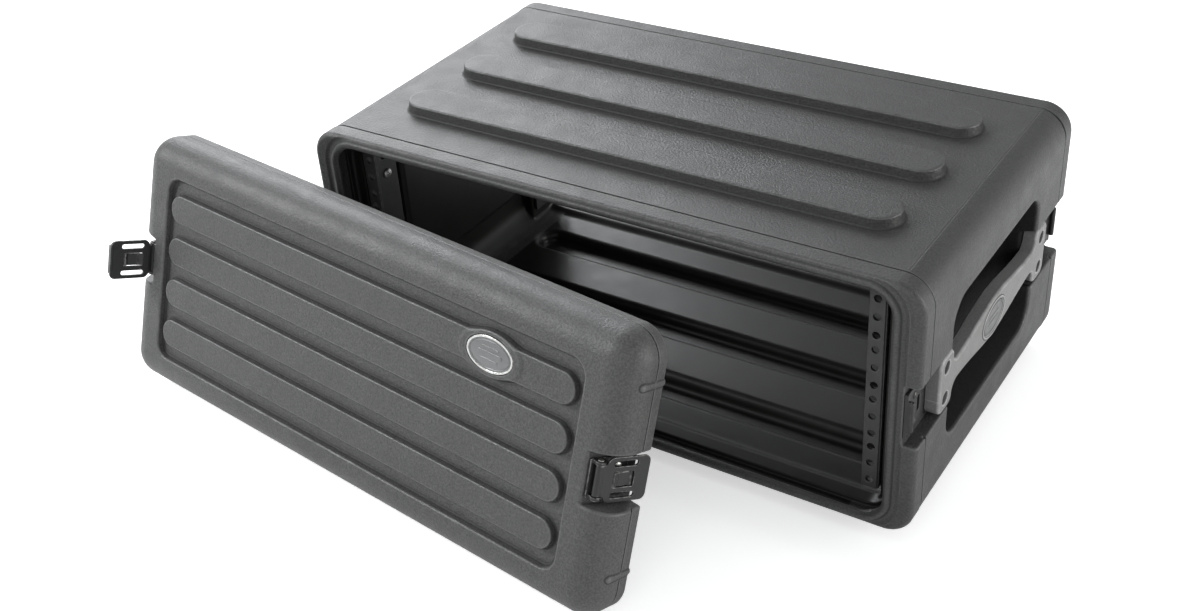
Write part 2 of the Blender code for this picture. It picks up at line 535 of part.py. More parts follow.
latch(1, 'right', 0.0)
latch(-1, 'left', LATCH_OPEN_LEFT)
bpy.context.view_layer.update()

# the frame's origin is on the floor, under the middle of the case body
for ob in bpy.context.scene.objects:
    if ob.parent is None:
        ob.matrix_world = Matrix.Translation((0.0, -155.5 * MM, 0.0)) @ ob.matrix_world
bpy.context.view_layer.update()
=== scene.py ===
import math
import bpy
import bmesh
import numpy as np
from mathutils import Matrix, Vector


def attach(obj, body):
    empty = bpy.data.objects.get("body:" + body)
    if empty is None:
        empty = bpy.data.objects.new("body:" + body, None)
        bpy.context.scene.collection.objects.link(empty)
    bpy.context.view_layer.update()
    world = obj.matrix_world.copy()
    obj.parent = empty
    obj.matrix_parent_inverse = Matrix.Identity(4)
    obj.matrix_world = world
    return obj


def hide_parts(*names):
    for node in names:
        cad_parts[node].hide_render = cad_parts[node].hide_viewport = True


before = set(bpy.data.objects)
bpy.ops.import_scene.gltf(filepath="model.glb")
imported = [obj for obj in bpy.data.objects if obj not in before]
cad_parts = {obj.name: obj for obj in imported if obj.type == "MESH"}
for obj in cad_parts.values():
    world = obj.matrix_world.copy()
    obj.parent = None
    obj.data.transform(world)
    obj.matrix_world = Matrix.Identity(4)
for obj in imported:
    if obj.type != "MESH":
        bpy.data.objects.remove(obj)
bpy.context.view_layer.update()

MM = 0.001
ORIGIN_Y = -155.5      # drawings start at the front rim plane, the frame in the middle of the body
F32 = np.float32


# =====================================================================================
# Smooth solids: distance fields in millimetres, skinned on a graded grid
# =====================================================================================
def rbox2(a, b, ha, hb, r):
    """Rounded rectangle."""
    qa, qb = np.abs(a) - (ha - r), np.abs(b) - (hb - r)
    return np.hypot(np.maximum(qa, 0), np.maximum(qb, 0)) + np.minimum(np.maximum(qa, qb), 0) - r


def rint(a, b, r):
    """Intersection with a rounded outer edge of radius r."""
    return np.minimum(-r, np.maximum(a, b)) + np.hypot(np.maximum(r + a, 0), np.maximum(r + b, 0))


def runi(a, b, r):
    """Union with a fillet of radius r."""
    return np.maximum(r, np.minimum(a, b)) - np.hypot(np.maximum(r - a, 0), np.maximum(r - b, 0))


def rsub(a, b, r):
    """a without b, the cut's edge rounded to r."""
    return rint(a, -b, r)


def seg2(a, b, a0, b0, a1, b1, r):
    """Capsule around a segment, in two dimensions."""
    da, db = a1 - a0, b1 - b0
    t = np.clip(((a - a0) * da + (b - b0) * db) / (da * da + db * db), 0, 1)
    return np.hypot(a - a0 - t * da, b - b0 - t * db) - r


def ell2(a, b, ra, rb):
    """Ellipse, close to a true distance near its edge."""
    k = np.hypot(a / ra, b / rb)
    g = np.hypot(a / ra ** 2, b / rb ** 2)
    return k * (k - 1.0) / np.maximum(g, 1e-6)


def axis(*runs):
    """Grid lines: runs of (start, end, step)."""
    out = []
    for s, e, d in runs:
        n = max(1, int(round((e - s) / d)))
        out.extend(np.linspace(s, e, n + 1)[:-1])
    out.append(runs[-1][1])
    return np.array(out, F32)


CORN = [(0, 0, 0), (1, 0, 0), (0, 1, 0), (1, 1, 0), (0, 0, 1), (1, 0, 1), (0, 1, 1), (1, 1, 1)]


def skin(fun, xs, ys, zs, mirror=False, steps=2):
    """Vertices, quads, normals and convexity of the surface fun = 0."""
    if mirror:
        half = fun(xs[:, None, None], ys[None, :, None], zs[None, None, :])
        half = np.broadcast_to(half, (len(xs), len(ys), len(zs))).astype(F32)
        f = np.concatenate([half[:0:-1], half], 0)
        xs = np.concatenate([-xs[:0:-1], xs])
    else:
        f = fun(xs[:, None, None], ys[None, :, None], zs[None, None, :])
        f = np.broadcast_to(f, (len(xs), len(ys), len(zs))).astype(F32)
    s = f < 0
    c = np.zeros(tuple(n - 1 for n in s.shape), np.int8)
    for dx, dy, dz in CORN:
        c += s[dx:s.shape[0] - 1 + dx, dy:s.shape[1] - 1 + dy, dz:s.shape[2] - 1 + dz]
    act = (c > 0) & (c < 8)
    idx = np.full(act.shape, -1, np.int32)
    ci = np.argwhere(act)
    idx[act] = np.arange(len(ci))
    vals = [f[ci[:, 0] + a, ci[:, 1] + b, ci[:, 2] + d] for a, b, d in CORN]
    pos = [np.stack([xs[ci[:, 0] + a], ys[ci[:, 1] + b], zs[ci[:, 2] + d]], 1).astype(float) for a, b, d in CORN]
    acc, cnt = np.zeros((len(ci), 3)), np.zeros(len(ci))
    for i in range(8):
        for j in range(i + 1, 8):
            if sum(abs(p - q) for p, q in zip(CORN[i], CORN[j])) != 1:
                continue
            m = (vals[i] < 0) != (vals[j] < 0)
            t = (vals[i][m] / (vals[i][m] - vals[j][m]))[:, None]
            acc[m] += pos[i][m] * (1 - t) + pos[j][m] * t
            cnt[m] += 1
    v = acc / cnt[:, None]
    lo = np.stack([xs[ci[:, 0]], ys[ci[:, 1]], zs[ci[:, 2]]], 1)
    hi = np.stack([xs[ci[:, 0] + 1], ys[ci[:, 1] + 1], zs[ci[:, 2] + 1]], 1)
    quads = []
    for ax in range(3):
        b, d = (ax + 1) % 3, (ax + 2) % 3
        sl0 = [slice(None)] * 3
        sl1 = [slice(None)] * 3
        sl0[ax], sl1[ax] = slice(0, -1), slice(1, None)
        for q in (b, d):
            sl0[q] = sl1[q] = slice(1, -1)
        s0, s1 = s[tuple(sl0)], s[tuple(sl1)]
        for inside, flip in ((s0 & ~s1, False), (~s0 & s1, True)):
            e = np.argwhere(inside)
            if not len(e):
                continue
            e[:, b] += 1
            e[:, d] += 1
            cells = []
            for ob, od in ((-1, -1), (0, -1), (0, 0), (-1, 0)):
                k = e.copy()
                k[:, b] += ob
                k[:, d] += od
                cells.append(idx[k[:, 0], k[:, 1], k[:, 2]])
            q = np.stack(cells, 1)
            quads.append(q[:, ::-1] if flip else q)
    quads = np.concatenate(quads)
    quads = quads[(quads >= 0).all(1)]

    def ev(p):
        return np.asarray(fun(p[:, 0], p[:, 1], p[:, 2]), float)

    def grad(p, h=0.03):
        g = np.zeros_like(p)
        for k in range(3):
            o = np.zeros(3)
            o[k] = h
            g[:, k] = (ev(p + o) - ev(p - o)) / (2 * h)
        return g

    mid, room = (lo + hi) / 2, (hi - lo) * 0.5 + 0.25
    for _ in range(steps):
        g = grad(v)
        v = v - (ev(v) / np.maximum((g * g).sum(1), 0.05))[:, None] * g
        v = mid + np.clip(v - mid, -room, room)
    nrm = grad(v)
    nrm /= np.maximum(np.linalg.norm(nrm, axis=1), 1e-9)[:, None]
    lap = -6 * ev(v)
    for k in range(3):
        o = np.zeros(3)
        o[k] = 0.7
        lap += ev(v + o) + ev(v - o)
    return v, quads, nrm, lap / 0.49


def mesh(name, v, quads, nrm=None, curv=None, masks=None):
    """A mesh from millimetre vertices and quads, smooth, with the given vertex normals."""
    me = bpy.data.meshes.new(name)
    me.vertices.add(len(v))
    me.vertices.foreach_set("co", ((np.asarray(v) + (0.0, ORIGIN_Y, 0.0)) * MM).astype(F32).ravel())
    me.loops.add(quads.size)
    me.loops.foreach_set("vertex_index", quads.astype(np.int32).ravel())
    me.polygons.add(len(quads))
    me.polygons.foreach_set("loop_start", (np.arange(len(quads)) * quads.shape[1]).astype(np.int32))
    me.update(calc_edges=True)
    me.polygons.foreach_set("use_smooth", np.ones(len(quads), bool))
    for key, val in (masks or {}).items():
        at = me.attributes.new(key, "FLOAT", "POINT")
        at.data.foreach_set("value", np.asarray(val, F32))
    if curv is not None:
        at = me.attributes.new("convex", "FLOAT", "POINT")
        at.data.foreach_set("value", np.clip(curv, -2, 2).astype(F32))
    if nrm is not None:
        me.normals_split_custom_set_from_vertices(nrm.astype(F32).tolist())
    return me


def piece(name, me, body, mat, replaces=(), m=None):
    ob = bpy.data.objects.new(name, me)
    bpy.context.scene.collection.objects.link(ob)
    if m is not None:
        ob.matrix_world = m
    me.materials.clear()
    me.materials.append(mat)
    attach(ob, body)
    if replaces:
        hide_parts(*replaces)
    return ob


def mirror_x(v, quads, nrm):
    return v * np.array([-1, 1, 1.0]), quads[:, ::-1], nrm * np.array([-1, 1, 1.0])


def mirror_y(v, quads, nrm, c=312.0):
    w = v * np.array([1, -1, 1.0])
    w[:, 1] += c
    return w, quads[:, ::-1], nrm * np.array([1, -1, 1.0])


# =====================================================================================
# Materials
# =====================================================================================
class Nodes:
    def __init__(self, name):
        self.m = bpy.data.materials.new(name)
        self.m.use_nodes = True
        self.t = self.m.node_tree
        self.b = self.t.nodes["Principled BSDF"]
        self.tc = self.t.nodes.new("ShaderNodeTexCoord")

    def n(self, kind, **kw):
        x = self.t.nodes.new(kind)
        for k, v in kw.items():
            setattr(x, k, v)
        return x

    def put(self, sock, val):
        if isinstance(val, (int, float, tuple, list)):
            sock.default_value = val
        else:
            self.t.links.new(val, sock)

    def noise(self, scale, detail=2.0, rough=0.5, vec=None, kind="FBM"):
        x = self.n("ShaderNodeTexNoise")
        self.put(x.inputs["Vector"], vec or self.tc.outputs["Object"])
        x.inputs["Scale"].default_value = scale
        x.inputs["Detail"].default_value = detail
        x.inputs["Roughness"].default_value = rough
        return x.outputs["Fac"]

    def voronoi(self, scale, vec=None, feature="F1", smooth=None):
        x = self.n("ShaderNodeTexVoronoi", feature=feature)
        self.put(x.inputs["Vector"], vec or self.tc.outputs["Object"])
        x.inputs["Scale"].default_value = scale
        return x.outputs["Distance"]

    def scaled(self, sx, sy, sz):
        x = self.n("ShaderNodeMapping")
        self.put(x.inputs["Vector"], self.tc.outputs["Object"])
        x.inputs["Scale"].default_value = (sx, sy, sz)
        return x.outputs["Vector"]

    def remap(self, val, a0, a1, b0, b1, clamp=True):
        x = self.n("ShaderNodeMapRange", clamp=clamp)
        self.put(x.inputs["Value"], val)
        for k, q in zip(("From Min", "From Max", "To Min", "To Max"), (a0, a1, b0, b1)):
            x.inputs[k].default_value = q
        return x.outputs["Result"]

    def math(self, op, a, b=0.0):
        x = self.n("ShaderNodeMath", operation=op)
        self.put(x.inputs[0], a)
        self.put(x.inputs[1], b)
        return x.outputs[0]

    def mix(self, fac, a, b):
        x = self.n("ShaderNodeMix", data_type="RGBA")
        self.put(x.inputs[0], fac)
        self.put(x.inputs[6], a)
        self.put(x.inputs[7], b)
        return x.outputs[2]

    def mixf(self, fac, a, b):
        x = self.n("ShaderNodeMix", data_type="FLOAT")
        self.put(x.inputs[0], fac)
        self.put(x.inputs[2], a)
        self.put(x.inputs[3], b)
        return x.outputs[0]

    def attr(self, name):
        x = self.n("ShaderNodeAttribute")
        x.attribute_name = name
        return x.outputs["Fac"]

    def bump(self, height, dist, strength=1.0, after=None):
        x = self.n("ShaderNodeBump")
        self.put(x.inputs["Height"], height)
        x.inputs["Distance"].default_value = dist
        self.put(x.inputs["Strength"], strength)
        if after is not None:
            self.put(x.inputs["Normal"], after)
        return x.outputs["Normal"]

    def set(self, **kw):
        for k, v in kw.items():
            self.put(self.b.inputs[k.replace("_", " ")], v)
        return self.m


def rgb(v, t=0.0):
    """Grey of linear value v, slightly warm for t > 0 and cool for t < 0."""
    return (v * (1 + t), v, v * (1 - t), 1.0)


def moulded(name, base, rough, peel=1.0, inner=True, grit=1.0):
    """Rotationally moulded polyethylene: orange peel, faint flow mottling, rubbed edges that also carry a painted
    highlight, dust and painted shade in creases, fine scratches, and painted shade inside the case, the lid's hollow
    and the hand pockets.
    """
    k = Nodes(name)
    mott = k.noise(9.0, 4.0, 0.6)
    mott2 = k.noise(46.0, 3.0, 0.6)
    col = k.mix(k.remap(mott, 0.35, 0.65, 0, 1), rgb(base * 0.90, 0.012), rgb(base * 1.10, 0.006))
    grain = k.noise(640.0, 3.0, 0.7)
    col = k.mix(k.remap(grain, 0.36, 0.64, 0.0, 1.0), k.mix(0.52 * grit, col, rgb(base * 0.38, 0.01)), k.mix(0.50 * grit, col, rgb(base * 1.95, 0.01)))
    speck = k.remap(k.noise(900.0, 2.0, 0.7), 0.62, 0.74, 0, 1)
    col = k.mix(k.math("MULTIPLY", speck, 0.4), col, rgb(base * 2.0, 0.01))
    # convex edges painted lighter: partly rubbed wear, partly a painted highlight along the rib crests and rim edges
    wear_and_highlight = k.remap(k.math("MULTIPLY", k.attr("convex"), k.remap(k.noise(70.0, 4.0, 0.65), 0.3, 0.7, 0.35, 1.25)), 0.12, 0.62, 0, 1)
    col = k.mix(k.math("MULTIPLY", wear_and_highlight, 0.55), col, rgb(base * 2.6, 0.0))
    # concave creases painted darker: partly dust, partly painted shade in the hollows
    dust_and_shade = k.remap(k.attr("convex"), -0.50, -0.10, 1, 0)
    col = k.mix(k.math("MULTIPLY", dust_and_shade, 0.80), col, rgb(base * 0.22, 0.0))
    # hairline scratches in two directions, sparse
    scr = None
    for ang, sc in ((0.5, 1.0), (-0.9, 1.3), (1.45, 0.8)):
        mp = k.n("ShaderNodeMapping")
        k.put(mp.inputs["Vector"], k.tc.outputs["Object"])
        mp.inputs["Rotation"].default_value = (ang * 0.7, ang * 0.4, ang)
        mp.inputs["Scale"].default_value = (6 * sc, 420 * sc, 420 * sc)
        line = k.remap(k.noise(1.0, 1.0, 0.4, vec=mp.outputs["Vector"]), 0.735, 0.77, 0, 1)
        scr = line if scr is None else k.math("MAXIMUM", scr, line)
    gate = k.remap(k.noise(14.0, 2.0, 0.5), 0.5, 0.62, 0, 1)
    scr = k.math("MULTIPLY", scr, gate)
    col = k.mix(k.math("MULTIPLY", scr, 0.30), col, rgb(base * 2.6, 0.0))
    rg = k.remap(mott2, 0.3, 0.7, rough - 0.05, rough + 0.06)
    rg = k.mixf(wear_and_highlight, rg, rough - 0.10)
    rg = k.mixf(dust_and_shade, rg, rough + 0.18)
    p1 = k.noise(520.0, 2.0, 0.55)
    p2 = k.noise(1500.0, 2.0, 0.6)
    p3 = k.noise(26.0, 0.0, 0.5)
    h = k.math("ADD", k.math("MULTIPLY", p1, 1.0), k.math("MULTIPLY", p2, 0.45))
    if inner:
        inside_shade, pocket_shade = k.attr("inside"), k.attr("pocket")
        # inside the case and the lid's hollow the colour is painted much darker as painted shade; glossier there too
        col = k.mix(inside_shade, col, k.mix(k.remap(mott, 0.35, 0.65, 0, 1), rgb(base * 0.19, 0.07), rgb(base * 0.27, 0.06)))
        # hand pockets painted nearly black as painted shade in the recess
        col = k.mix(k.math("MULTIPLY", pocket_shade, 0.86), col, rgb(base * 0.10, 0.03))
        rg = k.mixf(inside_shade, rg, k.remap(mott2, 0.3, 0.7, 0.34, 0.42))
        rg = k.mixf(pocket_shade, rg, 0.62)
        amp = k.mixf(inside_shade, 1.0, 0.08)
        k.put(k.b.inputs["Specular IOR Level"], k.mixf(pocket_shade, k.mixf(inside_shade, 0.5, 0.30), 0.10))
        wav = k.mixf(inside_shade, 0.5, 0.22)
    else:
        amp, wav = 1.0, 0.5
        k.b.inputs["Specular IOR Level"].default_value = 0.5
    nb = k.bump(p3, 0.0008 * peel, wav)
    nb = k.bump(h, 0.00042 * peel, amp, after=nb)
    return k.set(Base_Color=col, Roughness=rg, Normal=nb)


def coated(name, base, rough, wear_col=0.30, grain=1.0, warm=0.01, metal=0.0):
    """Powder-coated or blackened steel: fine pebble, edges rubbed to bare metal, hole bores painted dark as shade."""
    k = Nodes(name)
    mott = k.noise(60.0, 4.0, 0.6)
    col = k.mix(k.remap(mott, 0.35, 0.65, 0, 1), rgb(base * 0.86, warm), rgb(base * 1.15, warm))
    rub = k.remap(k.math("MULTIPLY", k.attr("convex"), k.remap(k.noise(240.0, 5.0, 0.7), 0.38, 0.66, 0.0, 1.5)), 0.55, 1.35, 0, 1)
    col = k.mix(k.math("MULTIPLY", rub, 0.75), col, rgb(wear_col, 0.02))
    rg = k.remap(k.noise(180.0, 3.0, 0.6), 0.3, 0.7, rough - 0.06, rough + 0.08)
    h = k.math("ADD", k.noise(1400.0, 2.0, 0.5), k.math("MULTIPLY", k.noise(320.0, 2.0, 0.5), 0.7))
    nb = k.bump(h, 0.00012 * grain, 0.8)
    # the bores of the rail holes are painted dark as painted shade, and made rougher and less metallic
    bore = k.attr("bore")
    col = k.mix(bore, col, rgb(base * 0.25, warm))
    return k.set(Base_Color=col, Roughness=k.mixf(bore, rg, 0.6), Normal=nb, Metallic=k.mixf(k.math("SUBTRACT", rub, bore), metal, 0.9))


def plated(name, base, rough, sx=1.0):
    """Zinc plate: soft brushed streaks, small tarnish clouds."""
    k = Nodes(name)
    cloud = k.noise(220.0, 4.0, 0.65)
    col = k.mix(k.remap(cloud, 0.38, 0.62, 0, 1), (base * 0.82, base * 0.82, base * 0.78, 1), (base, base, base * 0.98, 1))
    st = k.noise(1.0, 2.0, 0.5, vec=k.scaled(300 * sx, 2600, 2600))
    rg = k.remap(k.math("ADD", cloud, st), 0.7, 1.3, rough - 0.07, rough + 0.10)
    nb = k.bump(st, 0.00005, 0.7)
    return k.set(Base_Color=col, Roughness=rg, Normal=nb, Metallic=1.0)


def satin_plate(name, base, rough):
    """Badge inlay: very fine horizontal brushing under a clear coat."""
    k = Nodes(name)
    st = k.noise(1.0, 3.0, 0.6, vec=k.scaled(90, 90, 5200))
    cl = k.noise(150.0, 3.0, 0.5)
    col = k.mix(k.remap(st, 0.3, 0.7, 0, 1), rgb(base * 0.88, -0.005), rgb(base * 1.08, 0.0))
    rg = k.remap(cl, 0.3, 0.7, rough - 0.05, rough + 0.07)
    nb = k.bump(st, 0.00003, 0.5)
    return k.set(Base_Color=col, Roughness=rg, Normal=nb, Metallic=0.75, Coat_Weight=0.25, Coat_Roughness=0.2)


def soft_rubber(name, base, rough):
    k = Nodes(name)
    mott = k.noise(120.0, 4.0, 0.65)
    col = k.mix(k.remap(mott, 0.35, 0.65, 0, 1), rgb(base * 0.85, 0.01), rgb(base * 1.2, 0.01))
    h = k.math("ADD", k.noise(1100.0, 2.0, 0.6), k.noise(300.0, 2.0, 0.5))
    rg = k.remap(mott, 0.3, 0.7, rough - 0.05, rough + 0.06)
    return k.set(Base_Color=col, Roughness=rg, Normal=k.bump(h, 0.00015, 0.8), Specular_IOR_Level=0.35)


SHELL = moulded("moulded_shell_m", 0.036, 0.44)
# the lid is the same plastic as the shell, its copy painted lighter (0.052 against 0.036) to stand in for the stronger
# light on its face
LID = moulded("moulded_lid_m", 0.052, 0.46)
RAIL = coated("rail_steel_m", 0.030, 0.40, wear_col=0.16, grain=0.8)
ZINC = plated("zinc_screw_m", 0.55, 0.38)
GRIP = moulded("handle_grip_m", 0.17, 0.47, peel=0.35, inner=False, grit=0.3)
BOLT = coated("black_bolt_m", 0.012, 0.36, wear_col=0.10)
PLATE = satin_plate("badge_plate_m", 0.20, 0.36)
RIMM = plated("badge_rim_m", 0.72, 0.26)
DARKPLATE = satin_plate("handle_badge_m", 0.16, 0.42)
KEEP = coated("keeper_steel_m", 0.012, 0.40, wear_col=0.10)
LATCH = coated("latch_steel_m", 0.014, 0.34, wear_col=0.22)
RUBBER = soft_rubber("gasket_rubber_m", 0.015, 0.75)


# =====================================================================================
# Body shell
# =====================================================================================
ZC = 121.5


def f_body(x, y, z):
    ax, zc, yy = np.abs(x), z - ZC, np.abs(y - 156.0)
    azc, dy = np.abs(zc), yy - 156.0
    rim2 = rbox2(ax, zc, 275.5, 111.5, 24.0)
    wall2 = np.maximum(rbox2(ax, zc, 275.5, 111.9, 26.0), azc - 111.5)
    outer = np.where(yy > 138.4, rim2, wall2)
    groove = np.maximum(np.abs(yy - 138.4) - 0.75, -rim2 - 2.2)
    outer = rsub(outer, groove, 0.45)
    crease = rint(np.hypot(np.maximum(np.abs(ax - 254.0) - 0.1, 0), azc - 111.9) - 0.62, yy - 136.0, 0.3)
    outer = rsub(outer, crease, 0.25)
    solid = rint(outer, dy, 4.6)
    # bead round the opening
    opening = rbox2(ax, zc, 251.0, 101.2, 19.0)
    solid = rsub(solid, np.hypot(opening - 9.6, dy - 2.4) - 3.4, 1.4)
    solid = runi(solid, np.hypot(opening - 3.9, dy + 1.3) - 2.9, 0.8)
    # ribs above and below
    yr = y - 155.5
    ym = yr - 78.5 * np.clip(np.round(yr / 78.5), -1, 1)
    h = np.where(zc > 0, 9.0, 10.0)
    st = np.hypot(np.maximum(ax - 206.0, 0), ym) - 19.0
    rib = rint(st * 0.99 + (azc - 111.5) * 0.13, azc - 111.5 - h, 1.5)
    solid = runi(solid, rib, 1.7)
    # inside
    seal = rint(rbox2(ax, zc, 254.0, 104.4, 21.0), np.abs(yy - 147.6) - 4.6, 1.4)
    room = rint(rbox2(ax, zc, 251.5, 105.2, 22.0), yy - 128.0, 7.0)
    hin = np.where(zc > 0, 115.5, 116.5)
    sth = np.hypot(np.maximum(ax - 206.0, 0), ym) - 13.6
    hollow = rint(sth + (azc - 105.0) * 0.22, azc - hin, 4.5)
    cav = runi(runi(opening, seal, 1.2), room, 4.0)
    cav = runi(cav, hollow, 6.5)
    shell = rsub(solid, cav, 1.5)
    keepin = solid + 4.0
    pil = np.maximum(rint(241.0 - ax, np.abs(yy - 116.0) - 20.0, 3.0), keepin)
    shell = runi(shell, pil, 3.0)
    boss = np.maximum(rint(241.0 - ax, rbox2(y - 151.5, z - 123.5, 86.0, 66.0, 20.0), 6.0), keepin)
    shell = runi(shell, boss, 5.0)
    # side channel and hand pocket
    chan = rint(np.abs(z - 122.5) - 26.5, 263.5 - ax, 1.8)
    shell = rsub(shell, chan, 1.5)
    pk = (rbox2(y - 151.5, z - 123.5, 91.5, 63.5, 21.0) + (275.5 - ax) * 0.42) * 0.93
    pocket = rint(pk, 245.5 - ax, 8.0)
    shell = rsub(shell, pocket, 2.0)
    return shell


def body_mesh():
    xs = axis((0, 198, 9.0), (198, 222, 1.3), (222, 230, 0.8), (230, 240, 1.3), (240, 252.6, 0.7), (252.6, 255.4, 0.35), (255.4, 262, 0.8), (262, 278, 0.65))
    half = [(-3.4, 24, 0.5), (24, 30, 1.0), (30, 54, 3.0), (54, 74, 0.9), (74, 90, 2.6), (90, 102, 0.9), (102, 132, 3.0),
            (132, 142, 0.9), (142, 155.5, 2.6)]
    ya = axis(*half)
    yb = axis((155.5, 170, 2.6), (170, 180, 0.9), (180, 210, 3.0), (210, 222, 0.9), (222, 230, 2.4), (230, 257, 0.9),
              (257, 282, 3.0), (282, 288, 1.0), (288, 315.4, 0.5))
    ys = np.concatenate([ya[:-1], yb])
    zs = axis((-1.5, 6, 0.8), (6, 14, 0.6), (14, 22, 0.7), (22, 38, 1.2), (38, 54, 3.0), (54, 82, 1.1), (82, 92, 3.0), (92, 100, 0.55),
              (100, 145, 3.2), (145, 153, 0.55), (153, 165, 3.0), (165, 193, 1.1), (193, 206, 2.6), (206, 222, 1.0), (222, 244.5, 0.6))
    v, q, n, c = skin(f_body, xs, ys, zs, mirror=True)
    ax, zc, yy = np.abs(v[:, 0]), v[:, 2] - ZC, np.abs(v[:, 1] - 156)
    # mask of the case interior, where shade is painted into the colour
    d = np.maximum(rbox2(ax, zc, 253.5, 104.0, 20.0), -20)
    inside_shade = np.clip(0.5 - d * 0.5, 0, 1) * np.clip((155.5 - yy) / 6.0, 0, 1)
    deep = (np.abs(zc) > 100) & (np.abs(zc) < 117.2) & (ax < 222) & (np.abs(n[:, 2]) > 0)
    inward = (n[:, 2] * zc < 0) & deep
    inside_shade = np.where(inward, np.clip((155.5 - yy) / 6.0, 0, 1), inside_shade)
    # mask of the hand pockets, where shade is painted into the colour
    box = rbox2(v[:, 1] - 151.5, v[:, 2] - 123.5, 93.0, 65.0, 20.0)
    pocket = np.clip((274.6 - ax) / 2.5, 0, 1) * np.clip(1.5 - box, 0, 1) * (ax > 243.4)
    inside_shade = inside_shade * (1.0 - pocket)
    return mesh("body_shell_v", v, q, n, c, {"inside": inside_shade, "pocket": pocket})


piece("body_shell_v", body_mesh(), "root", SHELL, ["body_shell"])


# =====================================================================================
# Rack rails
# =====================================================================================
RAIL_Z = 121.0
HOLES = [RAIL_Z - 88.9 + u * 44.45 + h for u in range(4) for h in (6.35, 22.225, 38.1)]


def f_rail(x, y, z):
    """Front right rail: face plate towards the opening, side flange against the wall."""
    az = np.abs(z - RAIL_Z) - 90.5
    face = np.maximum(np.abs(y - 20.05) - 1.25, np.maximum(226.0 - x, x - 238.5))
    face = rint(face, x - 240.0, 1.0)
    flange = np.maximum(np.abs(x - 238.75) - 1.25, np.maximum(20.0 - y, y - 57.0))
    plate = runi(rint(rint(face, 226.0 - x, 0.5), az, 0.8), rint(rint(flange, y - 57.0, 0.6), az, 0.8), 1.4)
    corner = np.hypot(np.maximum(x - 237.4, 0), np.maximum(21.4 - y, 0)) - 2.6
    plate = np.where((x > 237.4) & (y < 21.4), np.maximum(plate, np.maximum(corner, az)), plate)
    for hz in HOLES:
        near = np.hypot(x - 232.55, z - hz) - 3.1
        plate = np.where(np.abs(z - hz) < 6, rsub(plate, np.maximum(near, y - 30), 0.45), plate)
    for s in (-1, 1):
        hole = np.hypot(y - 44.0, z - (RAIL_Z + s * 57)) - 2.4
        slotd = rbox2(y - 44.0, z - (RAIL_Z + s * 74.5), 5.5, 3.0, 2.95)
        plate = rsub(plate, np.maximum(hole, 230 - x), 0.3)
        plate = rsub(plate, np.maximum(slotd, 230 - x), 0.4)
    return plate


def rails():
    zr = [(RAIL_Z - 92.5, RAIL_Z - 89, 0.4)]
    last = RAIL_Z - 89
    marks = sorted([(h - 4.4, h + 4.4) for h in HOLES])
    for a, b in marks:
        a = max(a, last)
        if a > last:
            zr.append((last, a, 1.2))
        zr.append((a, b, 0.38))
        last = b
    zr.append((last, RAIL_Z + 89, 0.6))
    zr.append((RAIL_Z + 89, RAIL_Z + 92.5, 0.4))
    zs = axis(*zr)
    xs = axis((225.0, 229.0, 0.4), (229.0, 236.2, 0.36), (236.2, 241.2, 0.36))
    ys = axis((18.0, 24.0, 0.36), (24.0, 37.0, 2.0), (37.0, 51.0, 0.5), (51.0, 56.0, 1.5), (56.0, 58.2, 0.4))
    v, q, n, c = skin(f_rail, xs, ys, zs)
    # mask of the hole bores, where shade is painted into the colour
    near = np.min([np.hypot(v[:, 0] - 232.55, v[:, 2] - h) for h in HOLES], axis=0)
    bore = np.clip((3.5 - near) / 0.3, 0, 1) * (v[:, 1] < 22.0)
    for s, side in ((1, "right"), (-1, "left")):
        for rear in (False, True):
            w, qq, nn = v, q, n
            if s < 0:
                w, qq, nn = mirror_x(w, qq, nn)
            if rear:
                w, qq, nn = mirror_y(w, qq, nn)
            nm = "rack_rail_%s_%s" % ("rear" if rear else "front", side)
            piece(nm + "_v", mesh(nm, w, qq, nn, c, {"bore": bore}), "root", RAIL, [nm])


rails()


# =====================================================================================
# Fasteners: turned in a local frame, +Z out of the head, origin on the seat under the head
# =====================================================================================
def frame_at(p, d, up=(0, 0, 1)):
    """Matrix with +Z along d at p (millimetres)."""
    z = Vector(d).normalized()
    x = Vector(up).cross(z)
    if x.length < 1e-6:
        x = Vector((1, 0, 0))
    x.normalize()
    y = z.cross(x)
    m = Matrix((x, y, z)).transposed().to_4x4()
    m.translation = Vector(p) * MM
    return m


def apply(m, v, n):
    a = np.array(m)
    r = a[:3, :3]
    return v @ r.T + a[:3, 3] * 1000.0, n @ r.T


def f_phillips(x, y, z):
    r = np.hypot(x, y)
    head = rint(np.hypot(r, z + 4.4) - 6.9, r - 4.4, 0.4)
    head = np.maximum(head, -z)
    arm = np.minimum(rbox2(x, y, 2.5 - (2.5 - z) * 0.35, 0.55, 0.2), rbox2(x, y, 0.55, 2.5 - (2.5 - z) * 0.35, 0.2))
    arm = runi(arm, r - 0.9, 0.3)
    head = rsub(head, np.maximum(arm, 0.7 - z), 0.18)
    shank = np.maximum(r - 1.95, np.maximum(-z - 13.5, z - 1.0))
    return np.minimum(head, shank)


def f_socket(x, y, z):
    """Button head with a hexagon socket."""
    r = np.hypot(x, y)
    head = rint(r - 4.6, z - 3.6, 1.3)
    head = np.maximum(head, -z)
    hexa = np.maximum(np.abs(x), np.abs(x) * 0.5 + np.abs(y) * 0.8660254) - 2.1
    head = rsub(head, np.maximum(hexa, 1.1 - z), 0.2)
    shank = np.maximum(r - 2.35, np.maximum(-z - 21.5, z - 1.0))
    return np.minimum(head, shank)


